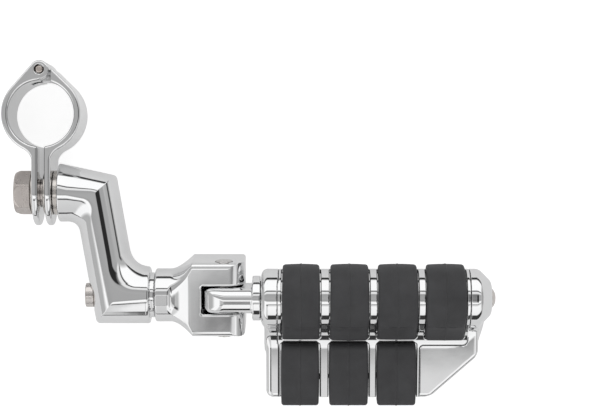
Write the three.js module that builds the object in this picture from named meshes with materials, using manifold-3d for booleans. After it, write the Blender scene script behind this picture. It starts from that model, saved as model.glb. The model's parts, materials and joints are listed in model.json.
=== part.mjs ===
// Highway foot peg on a hinged tube clamp, with an offset arm, a clevis and a folding peg.
// Millimetres. The origin is on the guard tube's axis at the middle of the clamp's width.
// +X runs from the clamp to the peg's outer end, +Z is the tread side, and +Y completes the frame.
import * as THREE from 'three';
import { mergeVertices } from 'three/addons/utils/BufferGeometryUtils.js';
import Module from 'manifold-3d';

const wasm = await Module();
wasm.setup();

const degrees = THREE.MathUtils.degToRad;

// ---- driving dimensions -------------------------------------------------------------------

const GAP = 0.3;                 // space left between pieces that touch on the real object
const CUT = 2;                   // how far a cutting solid runs past the face that it cuts
const FINE = 36;                 // sides on a large round
const COARSE = 20;               // sides on a fastener's round

// Tube clamp
const TUBE_BORE = 15.875;        // radius of a 1-1/4 inch guard tube
const BAND = 3.3;                // thickness of the clamp's band
const CLAMP_HALF_WIDTH = 16;     // along the guard tube
const EAR_INNER = 1.6;           // from the split plane to an ear's inner face
const EAR_THICK = 3.0;
const EAR_FILLET = 4.0;          // between the band and an ear's outer face
const HINGE = new THREE.Vector2(-0.8, 21.3);
const KNUCKLE_RADIUS = 4.5;
const PIN_RADIUS = 1.95;
const TONGUE_HALF_WIDTH = 5.2;   // middle finger of the hinge, on the inner half
const FINGER_REACH = 5.7;        // from the pin's axis to the shoulder beyond it

// Clamp bolt and the washers on it
const BOLT_Y = -38;
const BOLT_RADIUS = 6.35;        // 1/2 inch bolt
const BOLT_HEAD_FLATS = 19.05;
const BOLT_HEAD_OUTER = -14.2;
const BOLT_HEAD_INNER = -5.9;
const BOLT_HEAD_TURN = degrees(-18.6);
const BOLT_END = 22;
const CLEAR_HOLE = 7.0;          // radius of the ears' bolt holes
const WASHER_BORE = 6.75;
const HEAD_WASHER = { from: -5.8, to: -4.7, radius: 10.6 };
const EAR_SPACER = { from: 0, to: 1.45, radius: 10.2 };
const ARM_WASHER = { from: 4.75, to: 7.0, radius: 10.8 };

// Offset arm
const ARM_FACE = 7.2;            // where the arm's round stub meets its washer
const ARM_HALF_DEPTH = 14;
const ARM_EDGE = 2.5;            // bevel round the beam's faces
const ARM_TOP_LEFT = new THREE.Vector2(11.3, -24.7);
const ARM_TOP_RIGHT = new THREE.Vector2(35.0, -29.6);
const ARM_BOTTOM_RIGHT = new THREE.Vector2(48.1, -101.9);
const ARM_BOTTOM_LEFT = new THREE.Vector2(25.4, -101.9);
const CLAMP_STUB_RADIUS = 14.2;
const NECK_STUB_RADIUS = 13.9;
const NECK_STUB_END = 51.8;
const SPOT_FACE = 26.2;          // flat seat for the cap screw, cut into the slanted side
const SPOT_RADIUS = 7.4;

// Cap screw that joins the arm and the clevis
const NECK_Y = -88;
const CAP_HEAD_RADIUS = 6;
const CAP_HEAD = { from: 20.1, to: 24.5 };
const CAP_WASHER = { from: 24.6, to: 26.1, radius: 6.6 };
const CAP_RADIUS = 3.97;         // 5/16 inch screw
const CAP_SOCKET_FLATS = 6.35;
const CAP_END = 68;

// Clevis, in the tilted frame whose x axis is the neck's axis
const TILT = degrees(10);
const NECK_START = 54.3;
const GROOVE_RADIUS = 11;
const NECK_RADIUS = 13;
const FLARE_START = 62;
const BOX_START = 72.6;
const BOX_END = 98;
const BOX_HALF_WIDTH = 18.3;
const BOX_HALF_HEIGHT = 12.7;
const PRONG_CORNER = 8;
const SLOT_HALF_WIDTH = 6.8;
const SLOT_FLOOR = -4;           // the tang rests here, so the peg folds only towards the tread side
const PIVOT_X = 87.9;
const STEM_HEIGHT = 7;           // from the neck's axis to the stem's axis
const SOCKET_RADIUS = 11.0;
const PIVOT_PIN_RADIUS = 3.95;
const PIVOT_PIN_PROUD = 0.7;

// Stem that the peg turns on
const TANG_HALF_WIDTH = 6.35;
const TANG_HALF_HEIGHT = 10.7;
const TANG_END_RADIUS = 10.5;
const COLLAR = { from: 101.7, to: 105.6, radius: 10.9 };
const SHAFT_RADIUS = 8;
const SHAFT_END = 192;

// Peg body: a tube with a wing along one side
const TUBE_START = 105.95;
const TUBE_RADIUS = 14.3;
const TUBE_LIP = 3.2;
const NOSE_START = 210.2;
const NOSE_SHOULDER = 213;
const NOSE_END = 217.4;
const NOSE_RADIUS = 8;
const WING_START = 108.1;
const WING_END = 212;
const WING_EDGE = -50.8;
const WING_TOP = -2;             // heights here are from the stem's axis
const WING_BOTTOM = -12;
const WING_ROUND = 2.5;
const WING_CORNER = 6;
const DIAGONAL_TOP = -29.7;      // where the cut corner leaves the wing's outer end
const DIAGONAL_FOOT = 188.5;     // where it meets the wing's long edge
const SLOPE = degrees(143);      // where the fairing leaves the tube's round
const FAIRING_FILLET = 5;
const PEG_BORE = SHAFT_RADIUS + 0.35;
const BORE_DEPTH = 196;
const END_HOLE = 4.3;

// Tread: a frame let into the peg body, and rubber pads standing through its windows
const RECESS = 2.0;
const PAD_PROUD = 2.3;
const FRAME_ANGLE = degrees(-20);
const PAD_ANGLE = degrees(-12);
const TREAD_REACH = -26;          // how far out the upper tread bands run before they are trimmed
const FRAME = { from: 114.4, to: 206.5, lowerTo: 183, upperEdge: -24.1, lowerEdge: -50.5 };
const UPPER_PADS = [[116.0, 134.4], [139.1, 158.0], [162.1, 181.4], [185.3, 204.5]];
const UPPER_PAD_FOOT = -20.3;
const LOWER_PADS = [[115.3, 134.1], [138.8, 158.1], [162.2, 181.5]];
const LOWER_PAD_TOP = 1.6;
const LOWER_PAD_HEAD = -23.0;
const LOWER_PAD_EDGE = -54.3;
const LOWER_PAD_HEM = -9;
const PAD_ROUND = 2.6;

// Screws that hold the frame from below
const FRAME_SCREWS = [[136.45, -40], [160.15, -40], [136.7, -21.2], [183.35, -21.2]];
const SCREW_RADIUS = 1.0;
const SCREW_HEAD_RADIUS = 2.6;
const SCREW_HEAD_DEPTH = 2.2;
const BOSS_RADIUS = 1.75;
const BOSS_DEPTH = 3.2;

// End bolt
const END_HEAD_RADIUS = 5.6;
const END_HEAD_HEIGHT = 2.3;
const END_BOLT_START = 170;

// ---- materials ----------------------------------------------------------------------------

const chrome = () => new THREE.MeshStandardMaterial({ color: 0xd9dadb, roughness: 0.08, metalness: 1 });
const nickel = () => new THREE.MeshStandardMaterial({ color: 0xb8a79d, roughness: 0.3, metalness: 1 });
const rubber = () => new THREE.MeshStandardMaterial({ color: 0x424347, roughness: 0.8, metalness: 0 });

// ---- solids -------------------------------------------------------------------------------

// Maps a shape drawn in x, y and extruded along z so that it is drawn in y, z and runs along x.
const ALONG_X = new THREE.Matrix4().makeBasis(
  new THREE.Vector3(0, 1, 0),
  new THREE.Vector3(0, 0, 1),
  new THREE.Vector3(1, 0, 0),
);
// The same for a shape drawn in x, z and run along -y.
const ALONG_Y = new THREE.Matrix4().makeBasis(
  new THREE.Vector3(1, 0, 0),
  new THREE.Vector3(0, 0, 1),
  new THREE.Vector3(0, -1, 0),
);

function solid(geometry) {
  const bare = geometry.clone();
  bare.deleteAttribute('normal');
  bare.deleteAttribute('uv');
  const merged = mergeVertices(bare, 1e-4);
  return new wasm.Manifold(new wasm.Mesh({
    numProp: 3,
    vertProperties: merged.attributes.position.array,
    triVerts: new Uint32Array(merged.index.array),
  }));
}

function geometryOf(manifold) {
  const mesh = manifold.getMesh();
  const geometry = new THREE.BufferGeometry();
  geometry.setAttribute('position', new THREE.BufferAttribute(mesh.vertProperties, 3));
  geometry.setIndex(new THREE.BufferAttribute(mesh.triVerts, 1));
  geometry.computeVertexNormals();
  return geometry;
}

function piece(name, manifold, material) {
  const mesh = new THREE.Mesh(geometryOf(manifold), material);
  mesh.name = name;
  return mesh;
}

const join = (...parts) => parts.reduce((whole, part) => whole.add(part));
const cut = (whole, ...tools) => tools.reduce((left, tool) => left.subtract(tool), whole);

function box(low, high) {
  const size = high.map((value, axis) => value - low[axis]);
  const middle = high.map((value, axis) => (value + low[axis]) / 2);
  return solid(new THREE.BoxGeometry(...size).translate(...middle));
}

function rodX(radius, from, to, y = 0, z = 0, sides = COARSE) {
  const rod = new THREE.CylinderGeometry(radius, radius, to - from, sides);
  return solid(rod.rotateZ(Math.PI / 2).translate((from + to) / 2, y, z));
}

function rodY(radius, from, to, x = 0, z = 0, sides = COARSE) {
  const rod = new THREE.CylinderGeometry(radius, radius, to - from, sides);
  return solid(rod.translate(x, (from + to) / 2, z));
}

function rodZ(radius, from, to, x = 0, y = 0, sides = COARSE) {
  const rod = new THREE.CylinderGeometry(radius, radius, to - from, sides);
  return solid(rod.rotateX(Math.PI / 2).translate(x, y, (from + to) / 2));
}

// Turns a profile of [x, radius] points about the x axis.
function turned(profile, sides = FINE, y = 0) {
  const points = profile.map(([x, radius]) => new THREE.Vector2(radius, x));
  return solid(new THREE.LatheGeometry(points, sides).rotateZ(-Math.PI / 2).translate(0, y, 0));
}

function prismZ(shape, from, to, curveSegments = 12) {
  const settings = { depth: to - from, bevelEnabled: false, curveSegments };
  return solid(new THREE.ExtrudeGeometry(shape, settings).translate(0, 0, from));
}

function prismX(shape, from, to, curveSegments = 12) {
  const settings = { depth: to - from, bevelEnabled: false, curveSegments };
  return solid(new THREE.ExtrudeGeometry(shape, settings).applyMatrix4(ALONG_X).translate(from, 0, 0));
}

function prismY(shape, from, to, curveSegments = 12) {
  const settings = { depth: to - from, bevelEnabled: false, curveSegments };
  return solid(new THREE.ExtrudeGeometry(shape, settings).applyMatrix4(ALONG_Y).translate(0, to, 0));
}

// A hexagonal prism along x, with its flats the given distance apart.
function hexX(flats, from, to, turn = 0, y = 0) {
  const hex = new THREE.CylinderGeometry(flats / Math.sqrt(3), flats / Math.sqrt(3), to - from, 6);
  return solid(hex.rotateZ(Math.PI / 2).rotateX(turn).translate((from + to) / 2, y, 0));
}

function washer({ from, to, radius }, bore, y) {
  return cut(rodX(radius, from, to, y), rodX(bore, from - CUT, to + CUT, y));
}

// A closed outline through corners given as [x, y, radius], each corner rounded to its radius.
function roundedOutline(corners) {
  const shape = new THREE.Shape();
  corners.forEach(([x, y, radius], index) => {
    const here = new THREE.Vector2(x, y);
    const [beforeX, beforeY] = corners[(index + corners.length - 1) % corners.length];
    const [afterX, afterY] = corners[(index + 1) % corners.length];
    const back = new THREE.Vector2(beforeX, beforeY).sub(here).normalize();
    const ahead = new THREE.Vector2(afterX, afterY).sub(here).normalize();
    const halfAngle = Math.acos(THREE.MathUtils.clamp(back.dot(ahead), -1, 1)) / 2;
    const reach = radius / Math.tan(halfAngle);
    const start = back.clone().multiplyScalar(reach).add(here);
    const end = ahead.clone().multiplyScalar(reach).add(here);
    if (index === 0) shape.moveTo(start.x, start.y);
    else shape.lineTo(start.x, start.y);
    if (radius > 0) {
      const centre = back.clone().add(ahead).normalize().multiplyScalar(radius / Math.sin(halfAngle)).add(here);
      const from = Math.atan2(start.y - centre.y, start.x - centre.x);
      const to = Math.atan2(end.y - centre.y, end.x - centre.x);
      const clockwise = back.cross(ahead) > 0;
      shape.absarc(centre.x, centre.y, radius, from, to, clockwise);
    }
  });
  shape.closePath();
  return shape;
}

// ---- tube clamp ---------------------------------------------------------------------------

const BAND_OUTER = TUBE_BORE + BAND;
const EAR_OUTER = EAR_INNER + EAR_THICK;

// One ear below the band, with the fillet outside it. Both ears start as one block, and the split
// between them is cut afterwards.
function ears() {
  const filletX = EAR_OUTER + EAR_FILLET;
  const filletY = -Math.sqrt((BAND_OUTER + EAR_FILLET) ** 2 - filletX ** 2);
  const ringAngle = Math.atan2(filletY, filletX);
  const foot = BOLT_Y - CLAMP_HALF_WIDTH;
  const outline = new THREE.Shape();
  outline.moveTo(-EAR_OUTER, foot);
  outline.lineTo(EAR_OUTER, foot);
  outline.lineTo(EAR_OUTER, filletY);
  outline.absarc(filletX, filletY, EAR_FILLET, Math.PI, ringAngle + Math.PI, true);
  outline.lineTo(0, -TUBE_BORE);
  outline.absarc(-filletX, filletY, EAR_FILLET, -ringAngle, 0, true);
  outline.closePath();
  return prismZ(outline, -CLAMP_HALF_WIDTH, CLAMP_HALF_WIDTH, 6);
}

// The crown round the hinge pin: straight tangents from the band to the knuckle's round.
function crown() {
  const towards = Math.atan2(HINGE.y, HINGE.x);
  const spread = Math.acos((BAND_OUTER - KNUCKLE_RADIUS) / HINGE.length());
  const onBand = (angle) => [BAND_OUTER * Math.cos(angle), BAND_OUTER * Math.sin(angle)];
  const outline = new THREE.Shape();
  outline.moveTo(0, 0);
  outline.lineTo(...onBand(towards - spread));
  outline.absarc(HINGE.x, HINGE.y, KNUCKLE_RADIUS, towards - spread, towards + spread, false);
  outline.lineTo(...onBand(towards + spread));
  outline.closePath();
  return prismZ(outline, -CLAMP_HALF_WIDTH, CLAMP_HALF_WIDTH, 10);
}

// One half of the clamp. side is +1 for the half next to the arm, which has the hinge's tongue,
// and -1 for the outer half, which has its two cheeks.
function clampHalf(side) {
  const high = HINGE.y + KNUCKLE_RADIUS + CUT;
  const wide = CLAMP_HALF_WIDTH + CUT;
  const split = HINGE.x + side * FINGER_REACH;
  const far = side * (BAND_OUTER + CUT);
  const [low, top] = split < far ? [split, far] : [far, split];
  const ownSide = box([low, 0, -wide], [top, high, wide]);
  const reach = HINGE.x - side * (FINGER_REACH - GAP);
  const [fingerLow, fingerHigh] = reach < split ? [reach, split + 0.1] : [split - 0.1, reach];
  const tongue = (half) => box([fingerLow, 0, -half], [fingerHigh, high, half]);
  const finger = side > 0
    ? tongue(TONGUE_HALF_WIDTH)
    : cut(tongue(wide), tongue(TONGUE_HALF_WIDTH + GAP));
  const band = rodZ(BAND_OUTER, -CLAMP_HALF_WIDTH, CLAMP_HALF_WIDTH, 0, 0, FINE);
  const whole = cut(
    join(band, ears(), crown()),
    rodZ(TUBE_BORE, -wide, wide, 0, 0, FINE),
    box([-EAR_INNER, BOLT_Y - CLAMP_HALF_WIDTH - CUT, -wide], [EAR_INNER, -5, wide]),
  );
  const upper = whole.intersect(join(ownSide, finger));
  const below = box([side > 0 ? 0 : -wide - CUT, -60, -wide], [side > 0 ? wide + CUT : 0, 0.01, wide]);
  const lower = whole.intersect(below);
  const earPlan = new THREE.Shape();
  earPlan.moveTo(high, -wide);
  earPlan.lineTo(high, wide);
  earPlan.lineTo(BOLT_Y + CUT, wide);
  earPlan.lineTo(BOLT_Y + CUT, CLAMP_HALF_WIDTH);
  earPlan.lineTo(BOLT_Y, CLAMP_HALF_WIDTH);
  earPlan.absarc(BOLT_Y, 0, CLAMP_HALF_WIDTH, Math.PI / 2, Math.PI * 1.5, false);
  earPlan.lineTo(BOLT_Y + CUT, -CLAMP_HALF_WIDTH);
  earPlan.lineTo(BOLT_Y + CUT, -wide);
  earPlan.closePath();
  const roundEnds = prismX(earPlan, -BAND_OUTER - CUT, BAND_OUTER + CUT, 18);
  return cut(
    join(upper, lower).intersect(roundEnds),
    rodX(CLEAR_HOLE, -10, 10, BOLT_Y),
    rodZ(PIN_RADIUS + GAP, -wide, wide, HINGE.x, HINGE.y),
  );
}

function hingePin() {
  const length = CLAMP_HALF_WIDTH - 0.4;
  return rodZ(PIN_RADIUS, -length, length, HINGE.x, HINGE.y);
}

function clampBolt() {
  const chamfer = 1.4;
  const across = BOLT_HEAD_FLATS / Math.sqrt(3);
  const trimmed = turned([
    [BOLT_HEAD_OUTER, 0],
    [BOLT_HEAD_OUTER, across - 2 * chamfer],
    [BOLT_HEAD_OUTER + chamfer, across + 0.1],
    [BOLT_HEAD_INNER, across + 0.1],
    [BOLT_HEAD_INNER, 0],
  ], FINE, BOLT_Y);
  const hex = hexX(BOLT_HEAD_FLATS, BOLT_HEAD_OUTER - 1, BOLT_HEAD_INNER, BOLT_HEAD_TURN, BOLT_Y);
  return join(hex.intersect(trimmed), rodX(BOLT_RADIUS, BOLT_HEAD_INNER - 1, BOLT_END, BOLT_Y));
}

// ---- offset arm ---------------------------------------------------------------------------

function offsetArm() {
  const beam = roundedOutline([
    [ARM_TOP_LEFT.x, ARM_TOP_LEFT.y, 3],
    [ARM_BOTTOM_LEFT.x, ARM_BOTTOM_LEFT.y, 3],
    [ARM_BOTTOM_RIGHT.x, ARM_BOTTOM_RIGHT.y, 3],
    [ARM_TOP_RIGHT.x, ARM_TOP_RIGHT.y, 3],
  ]);
  const geometry = new THREE.ExtrudeGeometry(beam, {
    depth: 2 * (ARM_HALF_DEPTH - ARM_EDGE),
    bevelSize: ARM_EDGE,
    bevelThickness: ARM_EDGE,
    bevelOffset: -ARM_EDGE,
    bevelSegments: 2,
    curveSegments: 2,
  }).translate(0, 0, ARM_EDGE - ARM_HALF_DEPTH);
  const clampStub = rodX(CLAMP_STUB_RADIUS, ARM_FACE, 24, BOLT_Y, 0, FINE);
  const neckStub = turned([
    [32, 0],
    [32, NECK_STUB_RADIUS],
    [NECK_STUB_END - 1, NECK_STUB_RADIUS],
    [NECK_STUB_END, NECK_STUB_RADIUS - 1],
    [NECK_STUB_END, GROOVE_RADIUS],
    [NECK_START - GAP, GROOVE_RADIUS],
    [NECK_START - GAP, 0],
  ], FINE, NECK_Y);
  return cut(
    join(solid(geometry), clampStub, neckStub),
    rodX(BOLT_RADIUS + GAP, 0, BOLT_END + 1, BOLT_Y),
    rodX(SPOT_RADIUS, 10, SPOT_FACE, NECK_Y, 0, FINE),
    rodX(CAP_RADIUS + GAP, 10, NECK_START + CUT, NECK_Y),
  );
}

function capScrew() {
  const { from, to } = CAP_HEAD;
  const head = turned([
    [from, 0],
    [from, CAP_HEAD_RADIUS - 0.6],
    [from + 0.6, CAP_HEAD_RADIUS],
    [to, CAP_HEAD_RADIUS],
    [to, CAP_RADIUS],
    [CAP_END, CAP_RADIUS],
    [CAP_END, 0],
  ], COARSE, NECK_Y);
  return cut(head, hexX(CAP_SOCKET_FLATS, from - CUT, from + 3.2, 0, NECK_Y));
}

// ---- clevis -------------------------------------------------------------------------------

// Half the ring of directions round the neck, chosen so that the box's corners are among them.
function flareDirections() {
  const corner = Math.atan2(BOX_HALF_HEIGHT, BOX_HALF_WIDTH);
  const quadrant = [];
  for (let step = 0; step < 4; step++) quadrant.push(corner * step / 4);
  for (let step = 0; step < 5; step++) quadrant.push(corner + (Math.PI / 2 - corner) * step / 5);
  const mirrored = quadrant.map((angle) => Math.PI - angle).reverse();
  const half = [...quadrant, Math.PI / 2, ...mirrored.slice(0, -1)];
  return [...half, ...half.map((angle) => angle + Math.PI)];
}

// The neck's round opening out into the box's rectangle along a concave curve.
function flare() {
  const directions = flareDirections();
  const sections = 6;
  const positions = [];
  const faces = [];
  for (let row = 0; row < sections; row++) {
    const along = row / (sections - 1);
    const blend = 1 - Math.sqrt(Math.max(0, 1 - along * along));
    const x = THREE.MathUtils.lerp(FLARE_START, BOX_START, along);
    for (const angle of directions) {
      const square = Math.min(
        BOX_HALF_WIDTH / Math.abs(Math.cos(angle)),
        BOX_HALF_HEIGHT / Math.abs(Math.sin(angle)),
      );
      const radius = THREE.MathUtils.lerp(NECK_RADIUS, square, blend);
      positions.push(x, radius * Math.cos(angle), radius * Math.sin(angle));
    }
  }
  const count = directions.length;
  for (let row = 0; row + 1 < sections; row++) {
    for (let k = 0; k < count; k++) {
      const a = row * count + k;
      const b = row * count + (k + 1) % count;
      faces.push(a, b, b + count, a, b + count, a + count);
    }
  }
  const first = positions.length / 3;
  positions.push(FLARE_START, 0, 0, BOX_START, 0, 0);
  const last = (sections - 1) * count;
  for (let k = 0; k < count; k++) {
    const next = (k + 1) % count;
    faces.push(first, next, k, first + 1, last + k, last + next);
  }
  const geometry = new THREE.BufferGeometry();
  geometry.setAttribute('position', new THREE.Float32BufferAttribute(positions, 3));
  geometry.setIndex(faces);
  return solid(geometry);
}

function clevis() {
  const boxSide = roundedOutline([
    [BOX_START - 0.05, -BOX_HALF_HEIGHT, 0],
    [BOX_END, -BOX_HALF_HEIGHT, 1.5],
    [BOX_END, BOX_HALF_HEIGHT, PRONG_CORNER],
    [BOX_START - 0.05, BOX_HALF_HEIGHT, 0],
  ]);
  const prongs = prismY(boxSide, -BOX_HALF_WIDTH, BOX_HALF_WIDTH, 8);
  const neck = turned([
    [NECK_START, 0],
    [NECK_START, NECK_RADIUS - 1],
    [NECK_START + 1, NECK_RADIUS],
    [FLARE_START + 0.05, NECK_RADIUS],
    [FLARE_START + 0.05, 0],
  ]);
  const high = BOX_HALF_HEIGHT + CUT;
  const slotWide = SLOT_HALF_WIDTH;
  return cut(
    join(neck, flare(), prongs),
    box([PIVOT_X - SOCKET_RADIUS, -slotWide, STEM_HEIGHT], [BOX_END + CUT, slotWide, high]),
    rodY(SOCKET_RADIUS, -slotWide, slotWide, PIVOT_X, STEM_HEIGHT, FINE),
    box([PIVOT_X, -slotWide, SLOT_FLOOR], [BOX_END + CUT, slotWide, high]),
    rodY(PIVOT_PIN_RADIUS + GAP, -BOX_HALF_WIDTH - CUT, BOX_HALF_WIDTH + CUT, PIVOT_X, STEM_HEIGHT),
    rodX(CAP_RADIUS + GAP, NECK_START - CUT, CAP_END + 1),
  );
}

function pivotPin() {
  const end = BOX_HALF_WIDTH + PIVOT_PIN_PROUD;
  return rodY(PIVOT_PIN_RADIUS, -end, end, PIVOT_X, STEM_HEIGHT);
}

// ---- stem, with heights from its own axis -------------------------------------------------

function stem() {
  const side = new THREE.Shape();
  side.moveTo(PIVOT_X, -TANG_END_RADIUS);
  side.lineTo(COLLAR.from + 1, -TANG_HALF_HEIGHT);
  side.lineTo(COLLAR.from + 1, TANG_HALF_HEIGHT);
  side.lineTo(PIVOT_X, TANG_END_RADIUS);
  side.absarc(PIVOT_X, 0, TANG_END_RADIUS, Math.PI / 2, Math.PI * 1.5, false);
  const across = roundedOutline([
    [-TANG_HALF_WIDTH, -TANG_HALF_HEIGHT, 0.5],
    [TANG_HALF_WIDTH, -TANG_HALF_HEIGHT, 0.5],
    [TANG_HALF_WIDTH, TANG_HALF_HEIGHT, 4],
    [-TANG_HALF_WIDTH, TANG_HALF_HEIGHT, 4],
  ]);
  const tang = prismY(side, -TANG_HALF_WIDTH, TANG_HALF_WIDTH, 16)
    .intersect(prismX(across, PIVOT_X - 20, COLLAR.to, 4));
  const shaft = turned([
    [COLLAR.from, 0],
    [COLLAR.from, COLLAR.radius],
    [COLLAR.to, COLLAR.radius],
    [COLLAR.to, SHAFT_RADIUS],
    [SHAFT_END - 1, SHAFT_RADIUS],
    [SHAFT_END, SHAFT_RADIUS - 1],
    [SHAFT_END, 0],
  ]);
  const wide = TANG_HALF_WIDTH + CUT;
  return cut(
    join(tang, shaft),
    rodY(PIVOT_PIN_RADIUS + GAP, -wide, wide, PIVOT_X, 0),
    rodX(CAP_RADIUS + GAP, END_BOLT_START - CUT, SHAFT_END + CUT),
  );
}

function endBolt() {
  const seat = NOSE_END + 0.05;
  return turned([
    [END_BOLT_START, 0],
    [END_BOLT_START, CAP_RADIUS],
    [seat, CAP_RADIUS],
    [seat, END_HEAD_RADIUS],
    [seat + 0.9, END_HEAD_RADIUS],
    [seat + 1.8, END_HEAD_RADIUS - 1],
    [seat + END_HEAD_HEIGHT, END_HEAD_RADIUS - 2.6],
    [seat + END_HEAD_HEIGHT, 0],
  ], COARSE);
}

// ---- peg body and tread, drawn across in y and z from the stem's axis ---------------------

// The tread surface moved out by offset: round the tube, down the fairing, along the wing.
function treadLine(offset, startAngle, edge) {
  const points = [];
  const steps = 9;
  for (let step = 0; step <= steps; step++) {
    const angle = THREE.MathUtils.lerp(startAngle, SLOPE, step / steps);
    const radius = TUBE_RADIUS + offset;
    points.push(new THREE.Vector2(radius * Math.cos(angle), radius * Math.sin(angle)));
  }
  const centreZ = WING_TOP + FAIRING_FILLET;
  const centreY = (TUBE_RADIUS + FAIRING_FILLET - centreZ * Math.sin(SLOPE)) / Math.cos(SLOPE);
  for (let step = 0; step <= 4; step++) {
    const angle = THREE.MathUtils.lerp(SLOPE + Math.PI, Math.PI * 1.5, step / 4);
    const radius = FAIRING_FILLET - offset;
    points.push(new THREE.Vector2(
      centreY + radius * Math.cos(angle),
      centreZ + radius * Math.sin(angle),
    ));
  }
  points.push(new THREE.Vector2(edge, WING_TOP + offset));
  return points;
}

function treadBand(inner, outer, startAngle, edge, from, to) {
  const outline = [...treadLine(inner, startAngle, edge), ...treadLine(outer, startAngle, edge).reverse()];
  return prismX(new THREE.Shape(outline), from, to);
}

function wing() {
  const fairing = new THREE.Shape([
    new THREE.Vector2(0, WING_BOTTOM + 1),
    ...treadLine(0, degrees(90), -30),
    new THREE.Vector2(-30, WING_BOTTOM + 1),
  ]);
  const blade = roundedOutline([
    [0, WING_BOTTOM, 0],
    [0, WING_TOP, 0],
    [WING_EDGE, WING_TOP, WING_ROUND],
    [WING_EDGE, WING_BOTTOM, WING_ROUND],
  ]);
  const plan = roundedOutline([
    [WING_START, TUBE_RADIUS, 0],
    [WING_START, WING_EDGE, 3.5],
    [DIAGONAL_FOOT, WING_EDGE, WING_CORNER],
    [WING_END, DIAGONAL_TOP, WING_CORNER],
    [WING_END, -8, 3],
    [WING_END - 6, TUBE_RADIUS, 0],
  ]);
  const across = join(
    prismX(fairing, WING_START, WING_END),
    prismX(blade, WING_START, WING_END, 4),
  );
  return across.intersect(prismZ(plan, -30, 30, 6));
}

function tube() {
  const lip = [];
  for (let step = 0; step <= 3; step++) {
    const angle = step / 3 * Math.PI / 2;
    lip.push([
      TUBE_START + TUBE_LIP * (1 - Math.sin(angle)),
      TUBE_RADIUS - TUBE_LIP * (1 - Math.cos(angle)),
    ]);
  }
  return turned([
    [TUBE_START, 0],
    ...lip.reverse(),
    [NOSE_START, TUBE_RADIUS],
    [NOSE_START + 1.6, TUBE_RADIUS - 0.5],
    [NOSE_SHOULDER, TUBE_RADIUS - 1.8],
    [NOSE_END, NOSE_RADIUS],
    [NOSE_END, 0],
  ], FINE);
}

function pegBody() {
  const upperRecess = treadBand(
    -RECESS, 6, FRAME_ANGLE - 0.02, FRAME.upperEdge - GAP, FRAME.from - GAP, FRAME.to + GAP,
  );
  const lowerRecess = box(
    [FRAME.from - GAP, WING_EDGE - 10, WING_TOP - RECESS],
    [FRAME.lowerTo + GAP, FRAME.upperEdge + 1, WING_TOP + 10],
  );
  const screwHoles = FRAME_SCREWS.flatMap(([x, y]) => [
    rodZ(SCREW_RADIUS + GAP, WING_BOTTOM - CUT, WING_TOP, x, y),
    rodZ(SCREW_HEAD_RADIUS + GAP, WING_BOTTOM - CUT, WING_BOTTOM + SCREW_HEAD_DEPTH + GAP, x, y),
    rodZ(BOSS_RADIUS + GAP, WING_TOP - RECESS - BOSS_DEPTH, WING_TOP, x, y),
  ]);
  return cut(
    join(tube(), wing()),
    upperRecess,
    lowerRecess,
    rodX(PEG_BORE, TUBE_START - CUT, BORE_DEPTH, 0, 0, FINE),
    rodX(END_HOLE, BORE_DEPTH - 1, NOSE_END + CUT),
    ...screwHoles,
  );
}

function padFrame() {
  const inner = GAP - RECESS;
  const upper = treadBand(inner, 0, FRAME_ANGLE, FRAME.upperEdge, FRAME.from, FRAME.to);
  const lower = box(
    [FRAME.from, FRAME.lowerEdge, WING_TOP + inner],
    [FRAME.lowerTo, FRAME.upperEdge + 0.5, WING_TOP],
  );
  const upperWindows = UPPER_PADS.map(([from, to]) => box(
    [from - GAP, UPPER_PAD_FOOT - GAP, -30],
    [to + GAP, 30, 30],
  ).intersect(treadBand(-4, 4, PAD_ANGLE - 0.02, TREAD_REACH, from - GAP, to + GAP)));
  const lowerWindows = LOWER_PADS.map(([from, to]) => box(
    [from - GAP, WING_EDGE - 10, -10],
    [to + GAP, LOWER_PAD_HEAD + GAP, 10],
  ));
  const bosses = FRAME_SCREWS.map(([x, y]) => cut(
    rodZ(BOSS_RADIUS, WING_TOP + inner - BOSS_DEPTH + 0.5, WING_TOP + inner + 0.5, x, y),
    rodZ(SCREW_RADIUS + GAP, WING_TOP - 10, WING_TOP + inner, x, y),
  ));
  return join(cut(join(upper, lower), ...upperWindows, ...lowerWindows), ...bosses);
}

function upperPad([from, to]) {
  const foot = box([from - 1, UPPER_PAD_FOOT, -30], [to + 1, 30, 30]);
  return treadBand(GAP - RECESS, PAD_PROUD, PAD_ANGLE, TREAD_REACH, from, to).intersect(foot);
}

function lowerPad([from, to]) {
  const floor = WING_TOP - RECESS + GAP;
  const section = roundedOutline([
    [LOWER_PAD_HEAD, floor, 0],
    [LOWER_PAD_HEAD, LOWER_PAD_TOP, PAD_ROUND],
    [LOWER_PAD_EDGE, LOWER_PAD_TOP, PAD_ROUND],
    [LOWER_PAD_EDGE, LOWER_PAD_HEM, 1],
    [WING_EDGE - GAP, LOWER_PAD_HEM, 0],
    [WING_EDGE - GAP, floor, 0],
  ]);
  return prismX(section, from, to, 4);
}

function frameScrew([x, y]) {
  const seat = WING_BOTTOM + SCREW_HEAD_DEPTH;
  const head = rodZ(SCREW_HEAD_RADIUS, WING_BOTTOM + 0.2, seat, x, y);
  const socket = rodZ(1.3, WING_BOTTOM - CUT, WING_BOTTOM + 1.4, x, y, 6);
  return cut(join(head, rodZ(SCREW_RADIUS, seat - 0.5, WING_TOP - RECESS, x, y)), socket);
}

// ---- the assembly -------------------------------------------------------------------------

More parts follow.
